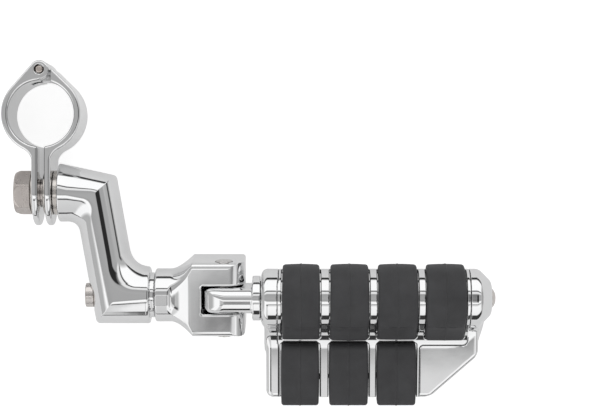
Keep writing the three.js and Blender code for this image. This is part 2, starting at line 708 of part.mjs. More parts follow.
const footPeg = new THREE.Group();
footPeg.add(
  piece('clamp_inner_half', clampHalf(1), chrome()),
  piece('clamp_outer_half', clampHalf(-1), chrome()),
  piece('clamp_hinge_pin', hingePin(), nickel()),
  piece('clamp_bolt', clampBolt(), nickel()),
  piece('bolt_head_washer', washer(HEAD_WASHER, WASHER_BORE, BOLT_Y), nickel()),
  piece('ear_spacer_washer', washer(EAR_SPACER, WASHER_BORE, BOLT_Y), nickel()),
  piece('arm_lock_washer', washer(ARM_WASHER, WASHER_BORE, BOLT_Y), nickel()),
  piece('offset_arm', offsetArm(), chrome()),
  piece('arm_cap_screw', capScrew(), nickel()),
  piece('cap_screw_washer', washer(CAP_WASHER, CAP_RADIUS + GAP, NECK_Y), nickel()),
);

const neckFrame = new THREE.Group();
neckFrame.position.set(0, NECK_Y, 0);
neckFrame.rotation.x = TILT;
neckFrame.add(
  piece('clevis', clevis(), chrome()),
  piece('pivot_pin', pivotPin(), nickel()),
);
footPeg.add(neckFrame);

const stemFrame = new THREE.Group();
stemFrame.position.z = STEM_HEIGHT;
stemFrame.add(
  piece('peg_stem', stem(), chrome()),
  piece('end_bolt', endBolt(), nickel()),
  piece('peg_body', pegBody(), chrome()),
  piece('pad_frame', padFrame(), chrome()),
);
UPPER_PADS.forEach((span, index) => stemFrame.add(piece(`pad_upper_${index + 1}`, upperPad(span), rubber())));
LOWER_PADS.forEach((span, index) => stemFrame.add(piece(`pad_lower_${index + 1}`, lowerPad(span), rubber())));
FRAME_SCREWS.forEach((place, index) => {
  stemFrame.add(piece(`frame_screw_${index + 1}`, frameScrew(place), nickel()));
});
neckFrame.add(stemFrame);

export default footPeg;
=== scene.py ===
"""A highway foot peg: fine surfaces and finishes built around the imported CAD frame.

Every piece is described by a signed distance in millimetres (negative inside), which gives it
fillets and rounded edges. It is then meshed on a grid and drawn onto the exact surface.
Pieces of the clamp and arm are described in the part's own frame. The clevis, stem and peg are
described in the neck's frame, which is tilted about the neck's axis.
"""
import json
import math

import bpy
import numpy as np
from mathutils import Matrix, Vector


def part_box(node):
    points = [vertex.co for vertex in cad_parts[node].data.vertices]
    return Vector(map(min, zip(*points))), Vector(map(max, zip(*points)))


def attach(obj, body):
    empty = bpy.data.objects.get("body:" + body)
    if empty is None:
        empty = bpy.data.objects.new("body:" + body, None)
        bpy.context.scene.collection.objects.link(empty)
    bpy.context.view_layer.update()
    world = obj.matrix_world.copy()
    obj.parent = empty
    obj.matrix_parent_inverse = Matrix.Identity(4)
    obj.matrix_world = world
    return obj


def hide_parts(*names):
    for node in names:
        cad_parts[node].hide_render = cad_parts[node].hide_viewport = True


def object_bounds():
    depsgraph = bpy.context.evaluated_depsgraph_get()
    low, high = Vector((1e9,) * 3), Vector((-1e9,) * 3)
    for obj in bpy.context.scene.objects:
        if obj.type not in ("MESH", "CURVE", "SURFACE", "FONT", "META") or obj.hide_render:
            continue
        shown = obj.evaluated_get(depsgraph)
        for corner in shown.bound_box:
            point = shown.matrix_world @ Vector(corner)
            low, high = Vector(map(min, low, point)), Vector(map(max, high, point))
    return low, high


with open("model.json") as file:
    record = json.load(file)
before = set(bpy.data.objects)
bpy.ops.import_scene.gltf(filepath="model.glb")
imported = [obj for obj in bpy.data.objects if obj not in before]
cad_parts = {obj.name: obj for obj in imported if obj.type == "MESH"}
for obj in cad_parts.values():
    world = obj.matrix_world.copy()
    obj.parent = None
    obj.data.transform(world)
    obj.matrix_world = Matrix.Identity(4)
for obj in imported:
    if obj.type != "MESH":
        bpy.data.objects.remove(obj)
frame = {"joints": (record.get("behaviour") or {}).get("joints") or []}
cad_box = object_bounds()

MM = 0.001

# ---- places, in millimetres, worked out from the frame ----------------------------------------


def box_mm(node):
    low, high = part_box(node)
    return np.array(low) / MM, np.array(high) / MM


joints = {joint["name"]: joint for joint in frame["joints"]}
TILT = math.atan2(-joints["peg_fold"]["axis"][2], -joints["peg_fold"]["axis"][1])
NECK_Y = joints["clevis_turn"]["pos_m"][1] / MM
BOLT_Y = joints["arm_swing"]["pos_m"][1] / MM
HINGE_X, HINGE_Y = np.array(joints["clamp_open"]["pos_m"][:2]) / MM
PIVOT_X = joints["peg_fold"]["pos_m"][0] / MM
# The stem's axis is this far above the neck's axis, in the tilted frame.
STEM_UP = joints["peg_fold"]["pos_m"][2] / MM / math.cos(TILT)

# ---- sizes that several pieces share, in millimetres --------------------------------------------

# The clamp bolt is a half inch one, and the cap screw and end bolt are 5/16 inch.
BOLT_RADIUS = 6.35
SCREW_RADIUS = 3.97
SCREW_HOLE = 4.3
PIVOT_HOLE = 4.25
# Room between the face of a washer and the face that it bears on.
WASHER_ROOM = 0.1

# ---- distance functions -------------------------------------------------------------------------
# The last number that union, meet, cut and rod take is the radius of a fillet or of an edge.


def union(a, b, radius):
    """Join, with a concave fillet of the given radius where the two meet squarely."""
    if np.all(radius <= 0):
        return np.minimum(a, b)
    corner = np.hypot(np.maximum(radius - a, 0), np.maximum(radius - b, 0))
    return np.maximum(radius, np.minimum(a, b)) - corner


def valley(a, b, width):
    """Join, with a fillet that keeps its width at every depth."""
    return np.minimum(a, b) - np.maximum(width - np.abs(a - b), 0) ** 2 / (4 * width)


def meet(a, b, radius):
    """Common part, with a rounded edge of the given radius."""
    return -union(-a, -b, radius)


def cut(a, b, radius):
    """What is left of a outside b, with a rounded edge."""
    return meet(a, -b, radius)


def slab(t, low, high):
    return np.abs(t - (low + high) / 2) - (high - low) / 2


def disc(a, b, radius):
    return np.hypot(a, b) - radius


def rod(across, along, radius, low, high, edge):
    """A rod whose distance from its axis is across."""
    return meet(across - radius, slab(along, low, high), edge)


def rectangle(a, b, half_a, half_b, radius):
    """A rectangle about the origin, with rounded corners."""
    da = np.abs(a) - half_a + radius
    db = np.abs(b) - half_b + radius
    outside = np.hypot(np.maximum(da, 0), np.maximum(db, 0))
    return outside + np.minimum(np.maximum(da, db), 0) - radius


def ramp(t, length):
    """Rises from 0 to 1 as t goes from 0 to length."""
    return np.clip(t / length, 0, 1)


def side_of(a, b, start, end):
    """Signed distance from the line start to end, positive on its right."""
    run = np.array(end, float) - np.array(start, float)
    run /= np.hypot(*run)
    return (a - start[0]) * run[1] - (b - start[1]) * run[0]


def polygon(a, b, corners, radii):
    """A convex polygon, anticlockwise, with each corner rounded to its own radius."""
    sides = [
        side_of(a, b, corners[k], corners[(k + 1) % len(corners)])
        for k in range(len(corners))
    ]
    shape = sides[-1]
    for side, radius in zip(sides, radii):
        shape = meet(shape, side, radius)
    return shape


def hexagon(a, b, flats, turn):
    """A hexagon about the origin, measured across its flats and turned by an angle."""
    shape = None
    for k in range(3):
        angle = turn + k * math.pi / 3
        side = np.abs(a * math.cos(angle) + b * math.sin(angle)) - flats / 2
        shape = side if shape is None else meet(shape, side, 0.5)
    return shape


def capsule_hull(x, y, radius_a, tip, radius_b):
    """The hull of a disc at the origin and a smaller disc at tip."""
    length = np.hypot(*tip)
    up = np.array(tip) / length
    along = x * up[0] + y * up[1]
    aside = np.abs(x * up[1] - y * up[0])
    slope = (radius_a - radius_b) / length
    level = math.sqrt(1 - slope * slope)
    k = -slope * aside + level * along
    return np.where(
        k < 0,
        np.hypot(aside, along) - radius_a,
        np.where(
            k > level * length,
            np.hypot(aside, along - length) - radius_b,
            aside * level + along * slope - radius_a,
        ),
    )


# ---- meshing ------------------------------------------------------------------------------------

# A block of the coarse grid is this many cells of the fine one along each side.
STRIDE = 4
# A block is sampled finely when one of its corners is this many block sides from the surface.
NEAR_BLOCKS = 1.5
# Cells left round a piece's box, so that its whole surface is inside the grid.
MARGIN_CELLS = 2.1
# The two ends of each edge of a cell, whose corners are numbered with one bit for each axis.
EDGES = [
    (a, b)
    for a in range(8)
    for b in range(a + 1, 8)
    if bin(a ^ b).count("1") == 1
]


def evaluate(distance, points, chunk=400000):
    """The distance at each point, worked out a chunk at a time to save memory."""
    return np.concatenate([
        distance(*points[start : start + chunk].T)
        for start in range(0, len(points), chunk)
    ])


def gradient(distance, points, step=0.02):
    result = np.empty_like(points)
    for axis in range(3):
        shift = np.zeros(3)
        shift[axis] = step
        result[:, axis] = evaluate(distance, points + shift) - evaluate(distance, points - shift)
    return result / (2 * step)


def sample(distance, low, high, pitch):
    """Distances on a grid, exact near the surface and only right in sign elsewhere."""
    blocks = np.ceil((high - low) / (pitch * STRIDE)).astype(int)
    counts = blocks * STRIDE + 1
    coarse_axes = [low[k] + pitch * STRIDE * np.arange(blocks[k] + 1) for k in range(3)]
    coarse_points = np.stack(np.meshgrid(*coarse_axes, indexing="ij"), -1).reshape(-1, 3)
    coarse = evaluate(distance, coarse_points).reshape(blocks + 1)
    nearest = np.full(blocks, np.inf)
    for dx, dy, dz in np.ndindex(2, 2, 2):
        corner = coarse[dx : blocks[0] + dx, dy : blocks[1] + dy, dz : blocks[2] + dz]
        nearest = np.minimum(nearest, np.abs(corner))
    active = nearest < pitch * STRIDE * NEAR_BLOCKS
    spread = active.repeat(STRIDE, 0).repeat(STRIDE, 1).repeat(STRIDE, 2)
    near = np.zeros(counts, bool)
    for shift in np.ndindex(2, 2, 2):
        where = tuple(slice(s, s + n) for s, n in zip(shift, spread.shape))
        near[where] |= spread
    index = [
        np.minimum(np.round(np.arange(counts[k]) / STRIDE).astype(int), blocks[k])
        for k in range(3)
    ]
    values = coarse[np.ix_(*index)]
    spots = np.argwhere(near)
    values[near] = evaluate(distance, low + spots * pitch)
    return values


def net_points(values, cells, low, pitch):
    """A point in each of the given cells, at the middle of where the surface crosses its edges."""
    corners = list(np.ndindex(2, 2, 2))
    at_corner = np.stack([values[tuple((cells + corner).T)] for corner in corners], 1)
    sums = np.zeros((len(cells), 3))
    hits = np.zeros(len(cells))
    for a, b in EDGES:
        va, vb = at_corner[:, a], at_corner[:, b]
        crossed = (va < 0) != (vb < 0)
        t = np.where(crossed, va / np.where(crossed, va - vb, 1), 0)[:, None]
        spot = np.array(corners[a]) * (1 - t) + np.array(corners[b]) * t
        sums[crossed] += spot[crossed]
        hits += crossed
    return low + (cells + sums / hits[:, None]) * pitch


def surface_net(values, low, pitch):
    """One vertex in each cell that the surface crosses, and a quad round each crossed edge."""
    inside = values < 0
    shape = np.array(values.shape) - 1
    total = sum(
        inside[a : shape[0] + a, b : shape[1] + b, c : shape[2] + c].astype(np.int8)
        for a, b, c in np.ndindex(2, 2, 2)
    )
    cells = np.argwhere((total > 0) & (total < 8))
    ids = np.full(shape, -1, np.int64)
    ids[tuple(cells.T)] = np.arange(len(cells))
    faces = []
    for axis in range(3):
        u, v = (axis + 1) % 3, (axis + 2) % 3
        before = [slice(None)] * 3
        after = [slice(None)] * 3
        before[axis] = slice(0, -1)
        after[axis] = slice(1, None)
        first, second = inside[tuple(before)], inside[tuple(after)]
        for flip, crossing in ((False, first & ~second), (True, ~first & second)):
            spots = np.argwhere(crossing)
            spots = spots[(spots[:, u] > 0) & (spots[:, v] > 0)]
            spots = spots[(spots[:, u] < shape[u]) & (spots[:, v] < shape[v])]
            ring = []
            for du, dv in ((-1, -1), (0, -1), (0, 0), (-1, 0)):
                cell = spots.copy()
                cell[:, u] += du
                cell[:, v] += dv
                ring.append(ids[tuple(cell.T)])
            quad = np.stack(ring, 1)
            faces.append(quad[:, ::-1] if flip else quad)
    return net_points(values, cells, low, pitch), np.concatenate(faces)


def relax(points, faces):
    """Moves each vertex half way towards the middle of its neighbours."""
    total = np.zeros_like(points)
    count = np.zeros(len(points))
    for k in range(4):
        a, b = faces[:, k], faces[:, (k + 1) % 4]
        for here, there in ((a, b), (b, a)):
            for axis in range(3):
                total[:, axis] += np.bincount(here, points[there, axis], len(points))
            count += np.bincount(here, minlength=len(points))
    return (points + total / count[:, None]) / 2


def settle(distance, points, rounds, limit):
    """Draws points onto the surface along its gradient, by at most limit in each round."""
    for _ in range(rounds):
        slope = gradient(distance, points)
        size = np.maximum((slope * slope).sum(1), 0.25)
        step = evaluate(distance, points) / size
        points = points - np.clip(step, -limit, limit)[:, None] * slope
    return points


def smooth_mesh(name, points, faces, normals):
    """A mesh of quads, in metres, smooth shaded with the given normals."""
    mesh = bpy.data.meshes.new(name)
    mesh.vertices.add(len(points))
    mesh.vertices.foreach_set("co", (points * MM).ravel())
    mesh.loops.add(faces.size)
    mesh.loops.foreach_set("vertex_index", faces.ravel().astype(np.int32))
    mesh.polygons.add(len(faces))
    mesh.polygons.foreach_set("loop_start", np.arange(0, faces.size, 4, dtype=np.int32))
    mesh.update(calc_edges=True)
    mesh.validate()
    mesh.polygons.foreach_set("use_smooth", np.ones(len(mesh.polygons), bool))
    mesh.normals_split_custom_set_from_vertices(normals.tolist())
    return mesh


def build(name, distance, low, high, pitch, tilted=False):
    """An object of the body that distance describes, inside the box from low to high."""
    low = np.array(low, float) - MARGIN_CELLS * pitch
    high = np.array(high, float) + MARGIN_CELLS * pitch
    points, faces = surface_net(sample(distance, low, high, pitch), low, pitch)
    points = settle(distance, relax(points, faces), 2, pitch)
    points = settle(distance, relax(points, faces), 3, pitch)
    normals = gradient(distance, points, 0.04)
    normals /= np.maximum(np.linalg.norm(normals, axis=1), 1e-9)[:, None]
    if tilted:
        turn = np.array(Matrix.Rotation(TILT, 3, "X"))
        points = points @ turn.T + np.array([0, NECK_Y, 0])
        normals = normals @ turn.T
    piece = bpy.data.objects.new(name, smooth_mesh(name, points, faces, normals))
    bpy.context.scene.collection.objects.link(piece)
    return piece


def place(piece, body, node, material):
    """Gives a piece its material and body, and hides the CAD node that it stands for."""
    piece.data.materials.append(material)
    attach(piece, body)
    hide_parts(node)


# ---- materials ----------------------------------------------------------------------------------

# Nearly all of a noise texture lies between these two values.
NOISE_LOW, NOISE_HIGH = 0.3, 0.7


def new_material(name):
    material = bpy.data.materials.new(name)
    material.use_nodes = True
    tree = material.node_tree
    return material, tree, tree.nodes["Principled BSDF"]


def noise(tree, scale, detail, stretch=(1, 1, 1)):
    coordinate = tree.nodes.new("ShaderNodeTexCoord")
    mapping = tree.nodes.new("ShaderNodeMapping")
    mapping.inputs["Scale"].default_value = stretch
    texture = tree.nodes.new("ShaderNodeTexNoise")
    texture.inputs["Scale"].default_value = scale
    texture.inputs["Detail"].default_value = detail
    tree.links.new(coordinate.outputs["Object"], mapping.inputs["Vector"])
    tree.links.new(mapping.outputs["Vector"], texture.inputs["Vector"])
    return texture.outputs["Fac"]


def remap(tree, value, low, high, from_low=NOISE_LOW, from_high=NOISE_HIGH):
    node = tree.nodes.new("ShaderNodeMapRange")
    node.inputs["From Min"].default_value = from_low
    node.inputs["From Max"].default_value = from_high
    node.inputs["To Min"].default_value = low
    node.inputs["To Max"].default_value = high
    tree.links.new(value, node.inputs["Value"])
    return node.outputs["Result"]


def colours(tree, value, dark, light):
    """A colour that goes from dark to light as the noise rises."""
    node = tree.nodes.new("ShaderNodeValToRGB")
    first, last = node.color_ramp.elements
    first.position, last.position = NOISE_LOW, NOISE_HIGH
    first.color, last.color = (*dark, 1), (*light, 1)
    tree.links.new(value, node.inputs["Fac"])
    return node.outputs["Color"]


def bump(tree, shader, value, distance, strength):
    node = tree.nodes.new("ShaderNodeBump")
    node.inputs["Distance"].default_value = distance
    node.inputs["Strength"].default_value = strength
    tree.links.new(value, node.inputs["Height"])
    tree.links.new(node.outputs["Normal"], shader.inputs["Normal"])


def chrome(name, tone):
    """Polished chrome plate, with a faint waviness and handling haze."""
    material, tree, shader = new_material(name)
    shader.inputs["Metallic"].default_value = 1
    haze = noise(tree, scale=90, detail=4)
    dark = (tone * 0.97, tone * 0.975, tone * 0.98)
    light = (tone, tone, tone * 1.005)
    tree.links.new(colours(tree, haze, dark, light), shader.inputs["Base Color"])
    tree.links.new(remap(tree, haze, 0.035, 0.075), shader.inputs["Roughness"])
    waviness = noise(tree, scale=120, detail=1.5)
    bump(tree, shader, waviness, distance=0.00002, strength=0.35)
    return material


def nickel(name, dark, light, rough):
    """Nickel plate on steel, with fine turning marks along it and a little tarnish."""
    material, tree, shader = new_material(name)
    shader.inputs["Metallic"].default_value = 1
    tarnish = noise(tree, scale=160, detail=3)
    tree.links.new(colours(tree, tarnish, dark, light), shader.inputs["Base Color"])
    grain = noise(tree, scale=900, detail=2, stretch=(1, 0.3, 0.3))
    tree.links.new(remap(tree, grain, rough - 0.06, rough + 0.1), shader.inputs["Roughness"])
    bump(tree, shader, grain, distance=0.00001, strength=0.12)
    return material


def rubber(name):
    """Matte moulded rubber, with a fine mould texture and a trace of bloom."""
    material, tree, shader = new_material(name)
    bloom = noise(tree, scale=110, detail=6)
    dark = (0.039, 0.039, 0.041)
    light = (0.052, 0.052, 0.055)
    tree.links.new(colours(tree, bloom, dark, light), shader.inputs["Base Color"])
    grain = noise(tree, scale=2600, detail=4)
    tree.links.new(remap(tree, grain, 0.5, 0.7), shader.inputs["Roughness"])
    shader.inputs["Specular IOR Level"].default_value = 0.35
    bump(tree, shader, grain, distance=0.00006, strength=0.6)
    return material


CHROME = chrome("polished_chrome", 0.76)
FRAME_CHROME = chrome("frame_chrome", 0.74)
BOLT_NICKEL = nickel("bolt_nickel", (0.47, 0.43, 0.41), (0.54, 0.50, 0.475), 0.30)
SCREW_NICKEL = nickel("screw_nickel", (0.57, 0.54, 0.52), (0.63, 0.60, 0.58), 0.15)
WASHER_STEEL = nickel("washer_steel", (0.56, 0.53, 0.50), (0.63, 0.60, 0.57), 0.20)
PIN_STEEL = nickel("pin_steel", (0.54, 0.53, 0.52), (0.60, 0.59, 0.58), 0.20)
PIN_NICKEL = nickel("hinge_pin_nickel", (0.54, 0.48, 0.44), (0.62, 0.56, 0.52), 0.30)
RUBBER = rubber("pad_rubber")

# ---- tube clamp ---------------------------------------------------------------------------------

BAND_OUTER, CLAMP_TOP, HALF_WIDTH = box_mm("clamp_inner_half")[1]
BORE_RADIUS = 15.875
KNUCKLE_RADIUS = CLAMP_TOP - HINGE_Y
HINGE_PIN_LOW, HINGE_PIN_HIGH = box_mm("clamp_hinge_pin")
HINGE_PIN_RADIUS = (HINGE_PIN_HIGH[0] - HINGE_PIN_LOW[0]) / 2
# Half the gap between the ears, and half the distance across both.
EAR_INNER, EAR_OUTER = 1.6, 4.6
EAR_HOLE = 7.0
# The ears, and the gap between them, start this far along Y, inside the band and its bore.
EAR_ROOT, GAP_ROOT = -8, -10
# The two halves stay this far from the plane that parts them.
PARTING_ROOM = 0.05
# The hinge's middle finger: half its width, how far it reaches past the pin, and its round end.
FINGER_HALF, FINGER_REACH, FINGER_RADIUS = 5.2, 5.7, 4.75
FINGER_GAP = 0.3


def clamp_body(x, y, z):
    """Both halves as one piece, before they are parted."""
    band = capsule_hull(x, y, BAND_OUTER, (HINGE_X, HINGE_Y), KNUCKLE_RADIUS)
    ear = np.maximum(np.abs(x) - EAR_OUTER, y - EAR_ROOT)
    outline = union(band, ear, 4.0)
    outline = cut(outline, disc(x, y, BORE_RADIUS), 0.35)
    outline = cut(outline, np.maximum(np.abs(x) - EAR_INNER, y - GAP_ROOT), 0.9)
    # As wide as the clamp down to the bolt, and rounded about the bolt below it.
    width = np.hypot(np.minimum(y - BOLT_Y, 0), z) - HALF_WIDTH
    shape = meet(outline, width, 1.1)
    shape = cut(shape, disc(y - BOLT_Y, z, EAR_HOLE), 0.5)
    return cut(shape, disc(x - HINGE_X, y - HINGE_Y, HINGE_PIN_RADIUS + 0.4), 0.35)


def clamp_half(side):
    """Inner half (side 1) with the middle finger, or outer half (side -1) with the two cheeks."""
    room = 0.0 if side > 0 else FINGER_GAP

    def distance(x, y, z):
        towards = (x - HINGE_X) * side
        finger = (np.abs(z) - FINGER_HALF - room) * side
        knuckle = np.minimum(-towards, disc(x - HINGE_X, y - HINGE_Y, FINGER_RADIUS))
        crown = np.minimum(FINGER_REACH - towards, np.maximum(knuckle, finger))
        own = np.where(y > 0, crown, PARTING_ROOM - x * side)
        return meet(clamp_body(x, y, z), own, 0.35)

    return distance


def hinge_pin(x, y, z):
    radial = np.hypot(x - HINGE_X, y - HINGE_Y)
    return rod(radial, z, HINGE_PIN_RADIUS - 0.1, HINGE_PIN_LOW[2], HINGE_PIN_HIGH[2], 0.7)


def make_clamp():
    halves = ((1, "clamp_inner_half", "clamp"), (-1, "clamp_outer_half", "clamp_cap"))
    for side, node, body in halves:
        casting = build(node + "_casting", clamp_half(side), *box_mm(node), 0.42)
        place(casting, body, node, CHROME)
    pin = build("hinge_pin", hinge_pin, HINGE_PIN_LOW, HINGE_PIN_HIGH, 0.22)
    place(pin, "clamp", "clamp_hinge_pin", PIN_NICKEL)


# ---- bolts, screws and washers ------------------------------------------------------------------

HEAD_FLATS = 19.05
HEAD_TURN = math.radians(-18.6)
HEAD_CHAMFER = math.radians(28)
# The hollow in the top of the head, which is part of a large sphere.
DISH_RADIUS, DISH_DEPTH = 60.0, 0.25
# 13 threads to the inch, as rings, from a little way inside the arm.
THREAD_PITCH, THREAD_FROM = 1.95, 10


def make_clamp_bolt():
    low, high = box_mm("clamp_bolt")
    head_end = box_mm("bolt_head_washer")[0][0] - WASHER_ROOM

    def bolt(x, y, z):
        a, b = y - BOLT_Y, z
        radial = np.hypot(a, b)
        head = hexagon(a, b, HEAD_FLATS, HEAD_TURN)
        head = meet(head, slab(x, low[0], head_end - 0.4), 0.25)
        cone = (radial - HEAD_FLATS / 2 - 0.1) * math.cos(HEAD_CHAMFER)
        head = meet(head, cone - (x - low[0]) * math.sin(HEAD_CHAMFER), 0.4)
        face = rod(radial, x, HEAD_FLATS / 2 - 0.6, head_end - 0.5, head_end, 0.15)
        dish = np.sqrt((x - low[0] + DISH_RADIUS) ** 2 + radial**2) - (DISH_RADIUS + DISH_DEPTH)
        head = cut(head, dish, 0.3)
        shank = rod(radial, x, BOLT_RADIUS, head_end - 1, high[0], 0.6)
        groove = np.abs((x / THREAD_PITCH) % 1.0 - 0.5) * 0.9 - 0.1
        thread = np.where(x > THREAD_FROM, np.maximum(groove, 0), 0)
        return np.minimum(np.minimum(head, face), shank + thread * 0.8)

    piece = build("clamp_hex_bolt", bolt, low, high, 0.3)
    place(piece, "bolt", "clamp_bolt", BOLT_NICKEL)


def make_washer(node, body, centre_y, bore, split=False):
    """A plain washer, or a lock washer with a slanting split."""
    low, high = box_mm(node)
    outer = (high[2] - low[2]) / 2

    def washer(x, y, z):
        a, b = y - centre_y, z
        wall = slab(np.hypot(a, b), bore, outer)
        shape = meet(wall, slab(x, low[0], high[0]), 0.28)
        if split:
            # It leans across the ring, on its lower side only.
            gap = np.abs(a * 0.94 + (x - low[0]) * 0.5) - 0.35
            shape = cut(shape, np.maximum(gap, b), 0.15)
        return shape

    piece = build(node + "_ring", washer, low, high, 0.26)
    place(piece, body, node, WASHER_STEEL)


def make_washers():
    bolt_bore, screw_bore = 6.75, 4.27
    make_washer("bolt_head_washer", "bolt", BOLT_Y, bolt_bore)
    make_washer("ear_spacer_washer", "clamp", BOLT_Y, bolt_bore)
    make_washer("arm_lock_washer", "arm", BOLT_Y, bolt_bore, split=True)
    make_washer("cap_screw_washer", "clevis", NECK_Y, screw_bore, split=True)


def make_cap_screw():
    low, high = box_mm("arm_cap_screw")
    head_radius = (high[2] - low[2]) / 2
    under_head = box_mm("cap_screw_washer")[0][0] - WASHER_ROOM
    socket_flats, socket_depth = 6.35, 3.2

    def screw(x, y, z):
        a, b = y - NECK_Y, z
        radial = np.hypot(a, b)
        head = rod(radial, x, head_radius - 0.05, low[0], under_head, 0.6)
        socket = meet(hexagon(a, b, socket_flats, 0.2), x - low[0] - socket_depth, 0.1)
        head = cut(head, socket, 0.25)
        return np.minimum(head, rod(radial, x, SCREW_RADIUS, under_head - 1, high[0], 0.5))

    piece = build("neck_cap_screw", screw, low, high, 0.25)
    place(piece, "clevis", "arm_cap_screw", SCREW_NICKEL)


# ---- offset arm ---------------------------------------------------------------------------------

# The arm's plan, as lines from start to end, and its straight edges.
ARM_TOP_LINE = ((35.1, -29.6), (7.0, -23.6))
ARM_LEFT_LINE = ((17.1, -56.3), (24.9, -99.3))
ARM_RIGHT_LINE = ((47.9, -100.7), (36.2, -35.8))
STUB_UNDERSIDE = -52.2
NECK_TOP = -74.1
NECK_STUB_END = 51.8
BEAM_HALF_WIDTH, STUB_HALF_WIDTH, NECK_HALF_WIDTH = 11.35, 14.1, 13.2
NECK_SPIGOT_RADIUS = 11.0
SPOT_FACE_RADIUS = 7.3
BOLT_HOLE_RADIUS, BOLT_HOLE_END = 6.65, 23


def make_arm():
    low, high = box_mm("offset_arm")
    half_depth = high[2]
    spot_face = box_mm("cap_screw_washer")[1][0] + WASHER_ROOM

    def arm(x, y, z):
        # The plan, with its two inner corners filled and its two outer corners sharp.
        left = side_of(x, y, *ARM_LEFT_LINE)
        left = valley(left, STUB_UNDERSIDE - y, 5.3)
        right = side_of(x, y, *ARM_RIGHT_LINE)
        right = valley(right, y - NECK_TOP, 9.4)
        plan = meet(meet(right, side_of(x, y, *ARM_TOP_LINE), 1.6), meet(left, low[1] - y, 2.0), 0)
        # The bar is a little wider in its two stubs, and goes over to the beam's width by degrees.
        stub = ramp(24 - x, 12) * ramp(y + 60, 12)
        neck = ramp(x - 30, 20) * ramp(-70 - y, 12)
        half = BEAM_HALF_WIDTH + (STUB_HALF_WIDTH - BEAM_HALF_WIDTH) * stub
        half = half + (NECK_HALF_WIDTH - BEAM_HALF_WIDTH) * neck
        # Its section is round: the depth falls away towards every edge of the plan.
        rise = np.maximum(1 + plan / half, 0)
        shape = (np.hypot(rise, z / half_depth) - 1) * half
        shape = meet(shape, x - NECK_STUB_END, 1.0)
        shape = meet(shape, low[0] - x, 0.7)
        radial = np.hypot(y - NECK_Y, z)
        shape = np.minimum(shape, rod(radial, x, NECK_SPIGOT_RADIUS, 40, high[0], 0.3))
        shape = cut(shape, rod(radial, x, SPOT_FACE_RADIUS, 5, spot_face, 0.2), 0.4)
        shape = cut(shape, radial - SCREW_HOLE, 0.2)
        bolt_hole = np.maximum(disc(y - BOLT_Y, z, BOLT_HOLE_RADIUS), x - BOLT_HOLE_END)
        return cut(shape, bolt_hole, 0.3)

    place(build("arm_casting", arm, low, high, 0.5), "arm", "offset_arm", CHROME)


# ---- clevis and pivot pin -----------------------------------------------------------------------

NECK_START, NECK_END, NECK_RADIUS = 54.3, 62.0, 13.0
FORK_START, FORK_END = 72.6, 98.0
FORK_HALF_WIDTH, FORK_HALF_HEIGHT, FORK_EDGE = 18.3, 12.7, 2.8
FORK_NOSE_RADIUS = 8.0
# The scoop's round section, with its centre at this X and this far above the fork's top.
SCOOP_X, SCOOP_UP, SCOOP_RADIUS = 64.3, 10.0, 11.2
SLOT_HALF_WIDTH, SLOT_FLOOR = 6.8, -4.0
# The round end of the tang turns inside this radius about the pivot.
TANG_ROOM = 10.8
SCREW_HOLE_END = 69
PIVOT_PIN_RADIUS, PIVOT_PIN_HALF, PIVOT_PIN_DOME = 3.95, 19.0, 20.0


def clevis_outline(x, y, z):
    """Across the clevis: round at the neck, then a flare that opens into the fork's box."""
    along = ramp(x - NECK_END, FORK_START - NECK_END)
    opening = along**1.6
    wide = NECK_RADIUS + (FORK_HALF_WIDTH - NECK_RADIUS) * opening
    flat = NECK_RADIUS + (FORK_HALF_HEIGHT - NECK_RADIUS) * opening
    rounding = np.minimum(wide, flat) * (1 - opening) + FORK_EDGE * opening
    flare = rectangle(y, z, wide, flat, rounding)
    box = rectangle(y, z, FORK_HALF_WIDTH, FORK_HALF_HEIGHT, FORK_EDGE)
    past_neck = np.where(x > FORK_START, box, flare)
    outline = np.where(x < NECK_END, disc(y, z, NECK_RADIUS), past_neck)
    # The flare's slope makes a step across it longer than the true distance.
    return outline * np.where((x > NECK_END) & (x < FORK_START), 0.8, 1.0)


def clevis(x, y, z):
    shape = meet(clevis_outline(x, y, z), NECK_START - x, 1.0)
    shape = meet(shape, x - FORK_END, 1.4)
    shape = np.maximum(shape, meet(x - FORK_END, z - FORK_HALF_HEIGHT, FORK_NOSE_RADIUS))
    # A shallow scoop across the top of the flare.
    scoop = disc(x - SCOOP_X, z - FORK_HALF_HEIGHT - SCOOP_UP, SCOOP_RADIUS)
    shape = cut(shape, meet(scoop, NECK_END - 0.5 - x, 1.2), 1.2)
    # The slot: open above the pivot and towards the peg, with a round room for the tang's end.
    upper = np.maximum(PIVOT_X - TANG_ROOM - x, STEM_UP - z)
    lower = np.maximum(PIVOT_X - x, SLOT_FLOOR - z)
    socket = disc(x - PIVOT_X, z - STEM_UP, TANG_ROOM)
    hollow = np.minimum(np.minimum(upper, socket), lower)
    shape = cut(shape, meet(hollow, np.abs(y) - SLOT_HALF_WIDTH, 0.8), 1.0)
    shape = cut(shape, disc(x - PIVOT_X, z - STEM_UP, PIVOT_HOLE), 0.4)
    bore = np.maximum(disc(y, z, SCREW_HOLE), x - SCREW_HOLE_END)
    return cut(shape, bore, 0.3)


def pivot_pin(x, y, z):
    """The pin, with slightly domed ends."""
    radial = np.hypot(x - PIVOT_X, z - STEM_UP)
    beyond = np.abs(y) + (PIVOT_PIN_DOME - PIVOT_PIN_HALF)
    dome = np.sqrt(radial**2 + beyond**2) - PIVOT_PIN_DOME
    shape = meet(radial - PIVOT_PIN_RADIUS, np.abs(y) - PIVOT_PIN_HALF, 0.5)
    return meet(shape, dome, 0.3)


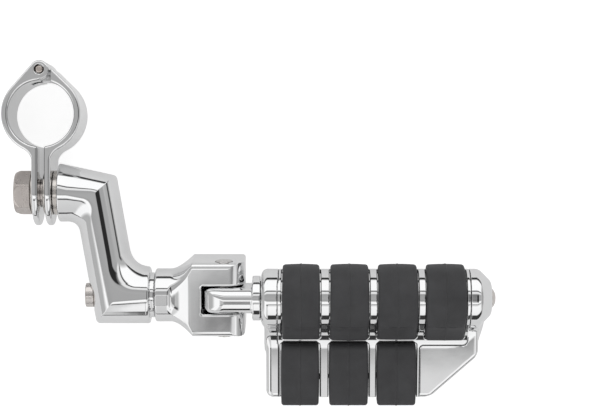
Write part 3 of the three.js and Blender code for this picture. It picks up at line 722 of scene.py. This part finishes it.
def make_clevis():
    low = (NECK_START, -FORK_HALF_WIDTH, -FORK_HALF_HEIGHT)
    high = (FORK_END, FORK_HALF_WIDTH, FORK_HALF_HEIGHT)
    casting = build("clevis_casting", clevis, low, high, 0.45, tilted=True)
    place(casting, "clevis", "clevis", CHROME)

    low = (PIVOT_X - 4, -PIVOT_PIN_HALF, STEM_UP - 4)
    high = (PIVOT_X + 4, PIVOT_PIN_HALF, STEM_UP + 4)
    pin = build("clevis_pin", pivot_pin, low, high, 0.26, tilted=True)
    place(pin, "clevis", "pivot_pin", PIN_STEEL)


# ---- stem and its end bolt ----------------------------------------------------------------------

# From here on w is the height above the stem's axis.
COLLAR_FROM, COLLAR_TO, COLLAR_RADIUS = 101.7, 105.6, 10.9
TANG_HALF_WIDTH, TANG_HALF_HEIGHT = 6.35, 10.5
SHAFT_RADIUS, SHAFT_END, SHAFT_HOLE_FROM = 8.0, 192, 168
BUTTON_FROM, BUTTON_TO, BUTTON_RADIUS = 217.45, 219.7, 5.6
BUTTON_CROWN_CENTRE, BUTTON_CROWN_RADIUS = 212.9, 6.85
BUTTON_SOCKET_FLATS, BUTTON_SOCKET_FROM = 4.0, 218.4
END_BOLT_FROM, END_BOLT_TO = 170, 218


def stem(x, y, z):
    w = z - STEM_UP
    # The tang's crowned top runs on round its end, about the pivot, with ever sharper edges.
    behind = np.maximum(PIVOT_X - x, 0)
    crown = 5.6 - 3.6 * ramp(behind, TANG_HALF_HEIGHT)
    tang = meet(np.abs(y) - TANG_HALF_WIDTH, np.hypot(behind, w) - TANG_HALF_HEIGHT, crown)
    tang = np.maximum(tang, x - COLLAR_TO + 1)
    radial = np.hypot(y, w)
    collar = rod(radial, x, COLLAR_RADIUS, COLLAR_FROM, COLLAR_TO, 0.5)
    shaft = rod(radial, x, SHAFT_RADIUS, COLLAR_TO - 2, SHAFT_END, 0.8)
    shape = np.minimum(union(tang, collar, 0.8), shaft)
    shape = cut(shape, disc(x - PIVOT_X, w, PIVOT_HOLE), 0.3)
    return cut(shape, np.maximum(radial - SCREW_HOLE, SHAFT_HOLE_FROM - x), 0.3)


def end_bolt(x, y, z):
    """A button head screw that holds the peg on the stem."""
    w = z - STEM_UP
    radial = np.hypot(y, w)
    head = rod(radial, x, BUTTON_RADIUS, BUTTON_FROM, BUTTON_TO, 0.3)
    crown = np.sqrt((x - BUTTON_CROWN_CENTRE) ** 2 + radial**2) - BUTTON_CROWN_RADIUS
    head = meet(head, crown, 0.3)
    socket = meet(hexagon(y, w, BUTTON_SOCKET_FLATS, 0.3), BUTTON_SOCKET_FROM - x, 0.1)
    head = cut(head, socket, 0.2)
    return np.minimum(head, rod(radial, x, SCREW_RADIUS, END_BOLT_FROM, END_BOLT_TO, 0.5))


def make_stem():
    low = (77, -11, STEM_UP - 11)
    high = (SHAFT_END, 11, STEM_UP + 11)
    forging = build("stem_forging", stem, low, high, 0.42, tilted=True)
    place(forging, "stem", "peg_stem", CHROME)

    low = (END_BOLT_FROM, -5.7, STEM_UP - 5.7)
    high = (219.8, 5.7, STEM_UP + 5.7)
    bolt = build("button_end_bolt", end_bolt, low, high, 0.25, tilted=True)
    place(bolt, "stem", "end_bolt", SCREW_NICKEL)


# ---- the peg's tread ----------------------------------------------------------------------------

TUBE_RADIUS = 14.3
TUBE_FROM, TUBE_TO = 105.95, 217.4
# The nose's cone has this radius at this X, and narrows by the last number over the one before.
CONE_AT, CONE_RADIUS, CONE_RUN, CONE_DROP = 213.0, 12.5, 4.4, 4.5
WING_TOP, WING_BOTTOM, WING_EDGE = -2.0, -12.0, -50.8
WING_FROM, WING_TO, WING_EDGE_TO, WING_DIAGONAL_TO = 108.1, 212.0, 188.5, -29.7
# The fairing's sloping face touches the tube at this angle round from +Y.
FAIRING_ANGLE = math.radians(143)
# It runs from one X to another, where a leaning end face cuts it off.
FAIRING_FROM, FAIRING_TO = 109.4, 210.4
# The pad frame and the pads lie in a recess of this depth.
RECESS = 2.0
# They stay this far above its floor, and the lower pads this far from the wing's edge.
RECESS_ROOM = 0.3
FRAME_FROM, FRAME_TO, LOWER_TO = 114.4, 206.5, 183.0
UPPER_EDGE, LOWER_EDGE = -24.1, -50.5
PAD_FOOT, PAD_HEAD, PAD_EDGE = -20.3, -23.0, -54.3
# How far the upper pads stand proud of the tread, and the heights of the lower pads' ends.
PAD_PROUD = 2.3
LOWER_PAD_TOP, LOWER_PAD_HEM = 1.5, -9.0
# The middle and half the reach of each kind of pad across the peg, for what varies along it.
UPPER_MIDDLE, UPPER_REACH = -2.0, 18.3
LOWER_MIDDLE, LOWER_REACH = (PAD_HEAD + PAD_EDGE) / 2, 16.1
PAD_SWELL = 0.32
PARTING_HEIGHT, PARTING_WIDTH = 0.26, 0.34
# The frame and the pads wrap round the tube's far side, down to this angle from +Y.
FRAME_WRAP = math.radians(-20)
PAD_WRAP = math.radians(-12)
SHAFT_BORE, SHAFT_BORE_END, SCREW_HOLE_FROM = 8.35, 196, 190
# The four small screws, in plan, that hold the frame down from below.
SCREWS = [(136.45, -40.0), (160.15, -40.0), (136.7, -21.2), (183.35, -21.2)]
FRAME_SCREW_HEAD, FRAME_SCREW_SHANK, FRAME_SCREW_FLATS = 2.6, 1.0, 2.2
SCREW_HEAD_HOLE, SCREW_SHANK_HOLE = 2.9, 1.3
# The frame's bosses for them, which stand in holes in the wing.
BOSS_RADIUS, BOSS_HOLE = 1.75, 2.05


def fairing_sides(y, w):
    """Distances past the sloping face that leaves the tube, and past the tube's own side."""
    lean = y * math.cos(FAIRING_ANGLE) + w * math.sin(FAIRING_ANGLE) - TUBE_RADIUS
    down = y * math.sin(FAIRING_ANGLE) - w * math.cos(FAIRING_ANGLE)
    return lean, np.maximum(down, y)


def tread_profile(y, w, fillet=5.0):
    """The peg's tread surface across: round the tube, down the fairing and along the wing."""
    lean, side = fairing_sides(y, w)
    ridge = np.minimum(disc(y, w, TUBE_RADIUS), np.maximum(lean, side))
    return union(ridge, np.maximum(w - WING_TOP, y), fillet)


def wrap_end(y, w, angle):
    """Distance past the end of what wraps round the tube's far side."""
    past = -(w * math.cos(angle) - y * math.sin(angle))
    well_inside = -5.0
    return np.where(y > 0, past, well_inside)


def tube_shape(x, y, w):
    radial = np.hypot(y, w)
    body = meet(radial - TUBE_RADIUS, TUBE_FROM - x, 3.2)
    cone = (x - CONE_AT) * CONE_DROP + (radial - CONE_RADIUS) * CONE_RUN
    body = meet(body, cone / math.hypot(CONE_DROP, CONE_RUN), 1.3)
    return meet(body, x - TUBE_TO, 0.9)


def wing_plan(x, y):
    inside = 20.0
    corners = [
        (WING_FROM, inside), (WING_FROM, WING_EDGE), (WING_EDGE_TO, WING_EDGE),
        (WING_TO, WING_DIAGONAL_TO), (WING_TO, inside),
    ]
    return polygon(x, y, corners, [0.0, 3.5, 2.2, 2.2, 0.0])


def peg_shell(x, y, w):
    """The tube, with the wing along one side and the fairing between them."""
    lean, side = fairing_sides(y, w)
    end = (x - FAIRING_TO) * 0.86 + (w - WING_TOP) * 0.51
    fairing = np.maximum(np.maximum(meet(lean, end, 12.0), side), FAIRING_FROM - x)
    blade = np.maximum(meet(w - WING_TOP, wing_plan(x, y), 2.4), y)
    tube = tube_shape(x, y, w)
    above = union(union(tube, fairing, 1.5), blade, 5.0)
    return np.minimum(tube, meet(above, WING_BOTTOM - w, 2.2))


def plan_box(x, y, low, high, radius):
    """A rounded rectangle in plan, between two corners."""
    middle = [(a + b) / 2 for a, b in zip(low, high)]
    half = [(b - a) / 2 for a, b in zip(low, high)]
    return rectangle(x - middle[0], y - middle[1], half[0], half[1], radius)


def frame_plan(x, y):
    """The pad frame's outline: a long upper part and a shorter lower one."""
    upper = plan_box(x, y, (FRAME_FROM, UPPER_EDGE), (FRAME_TO, 40), 2.5)
    lower = plan_box(x, y, (FRAME_FROM, LOWER_EDGE), (LOWER_TO, 10), 1.2)
    return union(upper, lower, 2.0)


# ---- peg body, pad frame, pads and frame screws -------------------------------------------------

UPPER_PADS = ["pad_upper_%d" % k for k in range(1, 5)]
LOWER_PADS = ["pad_lower_%d" % k for k in range(1, 4)]
# The feet of the upper pads aren't quite in line.
FOOT_SHIFTS = (0.2, -0.3, 0.1, -0.3)


def pad_span(node):
    low, high = box_mm(node)
    return low[0], high[0]


SPANS = {node: pad_span(node) for node in UPPER_PADS + LOWER_PADS}


def windows(x, y, w, room):
    """The frame's openings for the pads, larger than the pads by room."""
    result = None
    for node in UPPER_PADS:
        a, b = SPANS[node]
        hole = meet(slab(x, a - room, b + room), PAD_FOOT - 0.2 - room - y, 1.6)
        hole = np.maximum(hole, wrap_end(y, w, PAD_WRAP) - room)
        result = hole if result is None else np.minimum(result, hole)
    for node in LOWER_PADS:
        a, b = SPANS[node]
        hole = meet(slab(x, a - room, b + room), y - PAD_HEAD - room, 1.6)
        result = np.minimum(result, hole)
    return result


def peg_body(x, y, z):
    w = z - STEM_UP
    shell = peg_shell(x, y, w)
    inset = np.maximum(frame_plan(x, y) - 0.22, wrap_end(y, w, FRAME_WRAP))
    deep = -(tread_profile(y, w) + RECESS)
    shell = cut(shell, np.maximum(inset, deep), 0.3)
    radial = np.hypot(y, w)
    shell = cut(shell, np.maximum(radial - SHAFT_BORE, x - SHAFT_BORE_END), 0.4)
    shell = cut(shell, np.maximum(radial - SCREW_HOLE, SCREW_HOLE_FROM - x), 0.2)
    for sx, sy in SCREWS:
        head = np.maximum(disc(x - sx, y - sy, SCREW_HEAD_HOLE), w - WING_BOTTOM - 2.5)
        shell = cut(shell, np.minimum(head, disc(x - sx, y - sy, SCREW_SHANK_HOLE)), 0.25)
        boss = np.maximum(disc(x - sx, y - sy, BOSS_HOLE), WING_TOP - RECESS - 3.2 - w)
        shell = cut(shell, boss, 0.1)
    return shell


def pad_frame(x, y, z):
    w = z - STEM_UP
    plate = slab(tread_profile(y, w), -RECESS + RECESS_ROOM, -0.02)
    plate = meet(plate, np.maximum(frame_plan(x, y), wrap_end(y, w, FRAME_WRAP)), 0.45)
    plate = cut(plate, windows(x, y, w, 0.25), 0.45)
    for sx, sy in SCREWS:
        boss = rod(np.hypot(x - sx, y - sy), w, BOSS_RADIUS, WING_TOP - 4.4, WING_TOP - 1, 0.2)
        plate = np.minimum(plate, boss)
        hole = np.maximum(disc(x - sx, y - sy, SCREW_SHANK_HOLE), w - WING_TOP + 1.7)
        plate = cut(plate, hole, 0.1)
    return plate


def barrel(x, a, b, t):
    """Distance past a pad's two sides, which swell a little where t is 0, half way along it."""
    half = (b - a) / 2 - PAD_SWELL * t * t
    return np.abs(x - (a + b) / 2) - half


def parting(x, a, b):
    """The mould's parting line along the pad's middle."""
    return PARTING_HEIGHT * np.exp(-(((x - (a + b) / 2) / PARTING_WIDTH) ** 2))


def upper_pad(a, b, foot):
    """A pad over the tube, between a and b along X, down to foot on the fairing."""
    def distance(x, y, z):
        w = z - STEM_UP
        skin = tread_profile(y, w)
        face = tread_profile(y, w, 12.0)
        t = np.clip((y - UPPER_MIDDLE) / UPPER_REACH, -1, 1)
        across = (2 * x - a - b) / (b - a)
        # It stands a little less proud towards its foot and its two sides.
        proud = PAD_PROUD + 0.1 * np.maximum(t, 0) - 0.3 * np.maximum(-t, 0) ** 4
        proud = proud - 0.4 * across**2
        outer = face - proud - parting(x, a, b)
        shape = meet(outer, barrel(x, a, b, t), 1.3)
        shape = meet(shape, wrap_end(y, w, PAD_WRAP), 1.5)
        shape = meet(shape, foot - y, 1.5)
        return meet(shape, -(skin + RECESS - RECESS_ROOM), 0.3)

    return distance


def lower_pad(a, b):
    """A pad on the wing, between a and b along X, which hooks down over the wing's edge."""
    def distance(x, y, z):
        w = z - STEM_UP
        t = np.clip((y - LOWER_MIDDLE) / LOWER_REACH, -1, 1)
        top = LOWER_PAD_TOP - 0.35 * t * t
        outline = meet(w - top, PAD_EDGE + 0.1 - y, 2.6)
        outline = meet(outline, y - PAD_HEAD, 3.0) - parting(x, a, b)
        shape = meet(outline, barrel(x, a, b, t), 1.3)
        shape = meet(shape, LOWER_PAD_HEM - w, 1.0)
        floor = WING_TOP - RECESS + RECESS_ROOM
        under = np.maximum(w - floor, WING_EDGE - RECESS_ROOM - y)
        return cut(shape, under, 0.3)

    return distance


def frame_screw(sx, sy):
    """A small socket screw, head down, at a place in plan."""
    def distance(x, y, z):
        w = z - STEM_UP
        radial = np.hypot(x - sx, y - sy)
        head = rod(radial, w, FRAME_SCREW_HEAD, WING_BOTTOM + 0.2, WING_BOTTOM + 2.2, 0.3)
        socket = hexagon(x - sx, y - sy, FRAME_SCREW_FLATS, 0.4)
        head = cut(head, np.maximum(socket, w - WING_BOTTOM - 1.4), 0.15)
        shank = rod(radial, w, FRAME_SCREW_SHANK, WING_BOTTOM + 1, WING_TOP - 2, 0.2)
        return np.minimum(head, shank)

    return distance


def make_peg_body():
    low = (105.9, WING_EDGE, STEM_UP - TUBE_RADIUS)
    high = (217.5, TUBE_RADIUS, STEM_UP + TUBE_RADIUS)
    casting = build("peg_casting", peg_body, low, high, 0.58, tilted=True)
    place(casting, "peg", "peg_body", CHROME)


def make_pad_frame():
    low = (FRAME_FROM, LOWER_EDGE, STEM_UP - 6.5)
    high = (FRAME_TO, TUBE_RADIUS, STEM_UP + TUBE_RADIUS)
    plate = build("tread_frame", pad_frame, low, high, 0.42, tilted=True)
    place(plate, "peg", "pad_frame", FRAME_CHROME)


def make_pads():
    for node, shift in zip(UPPER_PADS, FOOT_SHIFTS):
        a, b = SPANS[node]
        foot = PAD_FOOT + shift
        low = (a, foot, STEM_UP - 5)
        high = (b, 17, STEM_UP + 17)
        pad = build("rubber_" + node, upper_pad(a, b, foot), low, high, 0.4, tilted=True)
        place(pad, "peg", node, RUBBER)
    for node in LOWER_PADS:
        a, b = SPANS[node]
        low = (a, PAD_EDGE, STEM_UP - 9.1)
        high = (b, PAD_HEAD, STEM_UP + 1.7)
        pad = build("rubber_" + node, lower_pad(a, b), low, high, 0.4, tilted=True)
        place(pad, "peg", node, RUBBER)


def make_frame_screws():
    for number, (sx, sy) in enumerate(SCREWS, 1):
        low = (sx - 2.7, sy - 2.7, STEM_UP - 12)
        high = (sx + 2.7, sy + 2.7, STEM_UP - 4)
        screw = build("tread_screw_%d" % number, frame_screw(sx, sy), low, high, 0.2, tilted=True)
        place(screw, "peg", "frame_screw_%d" % number, SCREW_NICKEL)


# ---- camera, floor and light --------------------------------------------------------------------

# What one pixel of the image covers at the height of the clamp's middle.
MM_PER_PIXEL = 0.489
IMAGE_WIDTH = 600
SENSOR_WIDTH = 36
VIEW_DISTANCE = 900
AIM = (124.7, -43.1)
# In metres.
CLIP_START = 0.05
FLOOR_DROP = 0.0006
FLOOR_HALF = 3.0


def make_camera():
    """Straight above the part, looking down, with +Y up in the picture."""
    data = bpy.data.cameras.new("camera")
    data.sensor_width = SENSOR_WIDTH
    data.lens = SENSOR_WIDTH * VIEW_DISTANCE / (MM_PER_PIXEL * IMAGE_WIDTH)
    data.clip_start = CLIP_START
    camera = bpy.data.objects.new("camera", data)
    bpy.context.scene.collection.objects.link(camera)
    camera.location = (AIM[0] * MM, AIM[1] * MM, VIEW_DISTANCE * MM)
    bpy.context.scene.camera = camera


def make_floor():
    """A pale floor, which looks brighter to the camera than it does to the part."""
    mesh = bpy.data.meshes.new("floor")
    level = cad_box[0][2] - FLOOR_DROP
    square = ((-1, -1), (1, -1), (1, 1), (-1, 1))
    corners = [(a * FLOOR_HALF, b * FLOOR_HALF, level) for a, b in square]
    mesh.from_pydata(corners, [], [(0, 1, 2, 3)])
    floor = bpy.data.objects.new("floor", mesh)
    bpy.context.scene.collection.objects.link(floor)
    material, tree, shader = new_material("pale_floor")
    shader.inputs["Base Color"].default_value = (0.45, 0.45, 0.45, 1)
    shader.inputs["Roughness"].default_value = 0.9
    shader.inputs["Emission Color"].default_value = (1, 1, 1, 1)
    seen = tree.nodes.new("ShaderNodeLightPath").outputs["Is Camera Ray"]
    tree.links.new(remap(tree, seen, 0.42, 0.82, 0, 1), shader.inputs["Emission Strength"])
    mesh.materials.append(material)


# A photographer's tent, as bands of brightness: each has an angle in degrees from straight up,
# turning towards +Y, and a brightness there. The +Y side is the same all along X. The -Y side has
# one panel over the arm and one over the peg.
TENT_BACK = [
    (-20.6, 1.28), (-12, 1.28), (-10, 0.44), (0, 0.52), (17, 0.46), (20, 1.05), (27, 1.05),
    (28, 0.10), (31, 0.10), (33, 1.32), (75, 1.3), (78, 0.9), (81, 0.05), (93, 0.05),
    (95, 0.78), (180, 0.78),
]
TENT_ARM = [
    (-180, 0.86), (-92, 0.86), (-90, 0.05), (-87, 0.05), (-86, 0.80), (-70, 0.78),
    (-28.8, 0.86), (-28.2, 0.05), (-24.5, 0.05), (-24.1, 0.66), (-21.7, 0.62), (-21.2, 1.2),
]
TENT_PEG = [
    (-180, 0.80), (-97, 0.80), (-95, 0.05), (-70, 0.05), (-67, 1.15), (-31, 1.25), (-28.5, 0.93),
    (-24.2, 0.92), (-23.9, 0.22), (-22.9, 0.2), (-22.4, 0.5), (-22.2, 0.3), (-21.6, 0.25),
    (-21.2, 0.9),
]
# Further along on the arm's side, that panel is one plain bright sheet.
TENT_FAR = [(-180, 0.86), (-92, 0.86), (-90, 0.05), (-87, 0.05), (-86, 1.2), (-21.2, 1.25)]
# The panels change over between these two values of the direction's X.
PANEL_SEAM = (-0.058, -0.05)
FAR_SEAM = (-0.4, -0.28)
# The tent's seams and gaps, as a share of the brightness by the angle from straight up towards
# +X. They fade out between the two values of the direction's Y, either way.
GAPS = [
    (-180, 1.0), (-100, 1.0), (-98, 0.1), (-93, 0.1), (-91, 1.0), (4, 1.0), (7, 0.06),
    (29, 0.06), (33, 1.0), (76, 1.0), (79, 0.1), (84, 0.1), (87, 1.0), (180, 1.0),
]
GAP_REACH = (0.2, 0.3)
# The tent's two ends along X are plain, past these values of the direction's X.
TENT_END = (0.74, 0.88)
TENT_END_VALUE = 0.56
BACKDROP = 0.97


def arithmetic(tree, operation, *values):
    """One sum, of numbers and of other nodes' outputs."""
    node = tree.nodes.new("ShaderNodeMath")
    node.operation = operation
    for slot, value in zip(node.inputs, values):
        if isinstance(value, (int, float)):
            slot.default_value = value
        else:
            tree.links.new(value, slot)
    return node.outputs["Value"]


def bands(tree, over, under, table):
    """A ramp of brightness by the angle between two parts of the view direction."""
    turn = arithmetic(tree, "ARCTAN2", over, under)
    scaled = remap(tree, turn, 0, 1, -math.pi, math.pi)
    node = tree.nodes.new("ShaderNodeValToRGB")
    elements = node.color_ramp.elements
    while len(elements) > 1:
        elements.remove(elements[-1])
    for index, (angle, value) in enumerate(table):
        spot = (angle + 180) / 360
        element = elements[0] if index == 0 else elements.new(spot)
        element.position = spot
        element.color = (value, value, value, 1)
    tree.links.new(scaled, node.inputs["Fac"])
    return node.outputs["Color"]


def blend(tree, first, second, share):
    """The first value where share is 0, and the second where it is 1."""
    rest = arithmetic(tree, "SUBTRACT", 1, share)
    return arithmetic(
        tree, "ADD",
        arithmetic(tree, "MULTIPLY", first, rest),
        arithmetic(tree, "MULTIPLY", second, share),
    )


def make_world():
    world = bpy.data.worlds.new("studio")
    world.use_nodes = True
    bpy.context.scene.world = world
    tree = world.node_tree
    background = tree.nodes["Background"]
    background.inputs["Color"].default_value = (1, 1, 1, 1)
    coordinate = tree.nodes.new("ShaderNodeTexCoord")
    split = tree.nodes.new("ShaderNodeSeparateXYZ")
    tree.links.new(coordinate.outputs["Generated"], split.inputs["Vector"])
    x, y, z = (split.outputs[name] for name in "XYZ")
    near = bands(tree, y, z, TENT_ARM + TENT_BACK)
    far = bands(tree, y, z, TENT_FAR + TENT_BACK)
    arm_side = blend(tree, far, near, remap(tree, x, 0, 1, *FAR_SEAM))
    peg_side = bands(tree, y, z, TENT_PEG + TENT_BACK)
    tent = blend(tree, arm_side, peg_side, remap(tree, x, 0, 1, *PANEL_SEAM))
    gaps = bands(tree, x, z, GAPS)
    beyond = remap(tree, arithmetic(tree, "ABSOLUTE", y), 0, 1, *GAP_REACH)
    end = remap(tree, arithmetic(tree, "ABSOLUTE", x), 0, 1, *TENT_END)
    walls = blend(tree, tent, TENT_END_VALUE, end)
    lit = arithmetic(tree, "MULTIPLY", walls, arithmetic(tree, "MAXIMUM", gaps, beyond))
    # The backdrop itself is plain, and the tent only shows in what it lights.
    seen = tree.nodes.new("ShaderNodeLightPath").outputs["Is Camera Ray"]
    tree.links.new(blend(tree, lit, BACKDROP, seen), background.inputs["Strength"])


bpy.context.scene.view_settings.view_transform = "Standard"
make_camera()
make_floor()
make_world()
make_clamp()
make_clamp_bolt()
make_washers()
make_cap_screw()
make_arm()
make_clevis()
make_stem()
make_peg_body()
make_pad_frame()
make_pads()
make_frame_screws()
